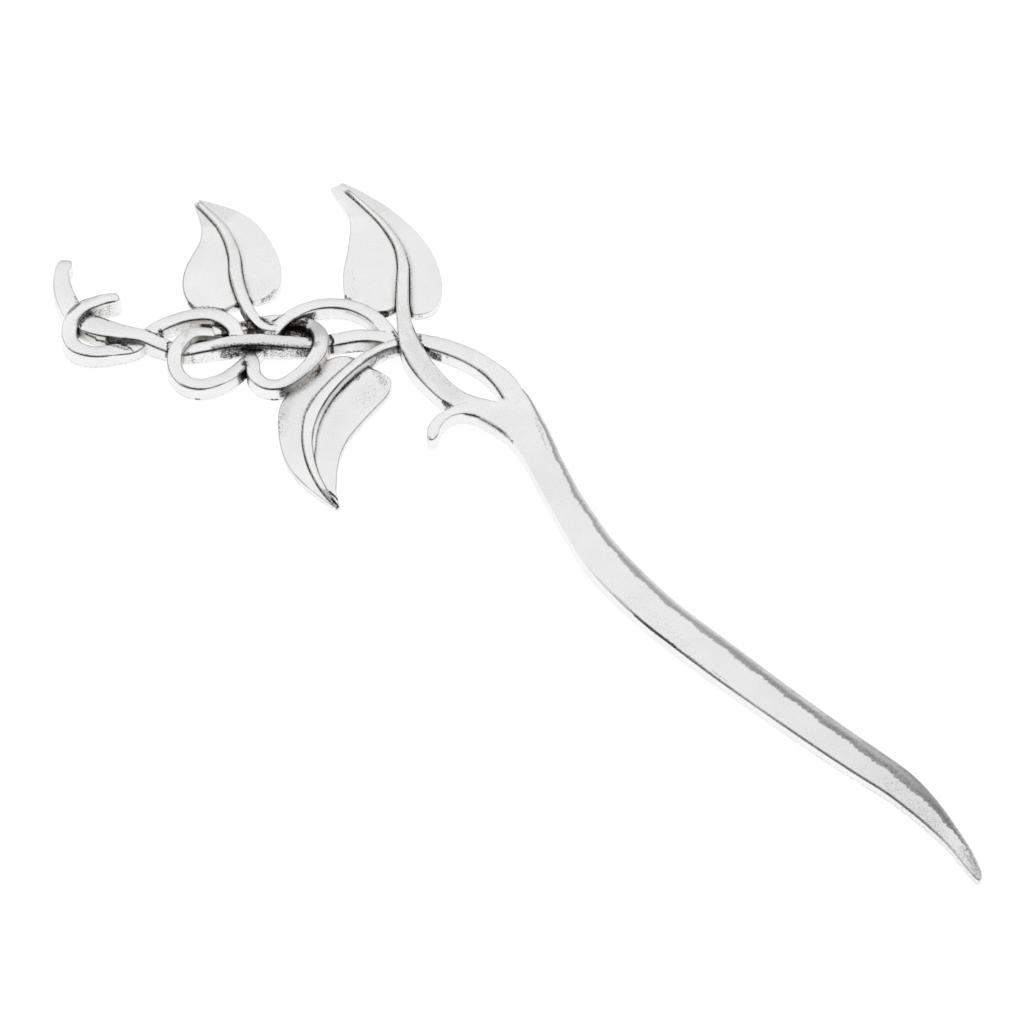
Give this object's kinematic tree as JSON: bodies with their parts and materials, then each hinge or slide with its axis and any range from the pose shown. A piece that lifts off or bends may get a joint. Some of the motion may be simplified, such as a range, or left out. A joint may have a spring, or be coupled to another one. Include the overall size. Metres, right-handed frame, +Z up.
{
  "type": "hair stick",
  "caption": "Flat-backed cast hair stick for pinning up long hair: a curved, tapering shaft under a head of interlaced vines, ribbed leaves, a curl and a small hooked tendril.",
  "frame": {"origin": "centre of the bounding box in plan, on the flat back", "axes": "+X along the stick from its leafy head to the tip of its shaft, +Y across it towards the longest leaf, +Z up out of the flat back towards the decorated face"},
  "size_m": [0.173, 0.0536, 0.0031],
  "materials": {
    "antique_silver": "antique silver on a zinc alloy casting: satin with a fine cast grain, dark tarnish left in the grooves and crossings"
  },
  "bodies": {
    "root": {"hair_stick": "antique_silver"}
  },
  "joints": []
}
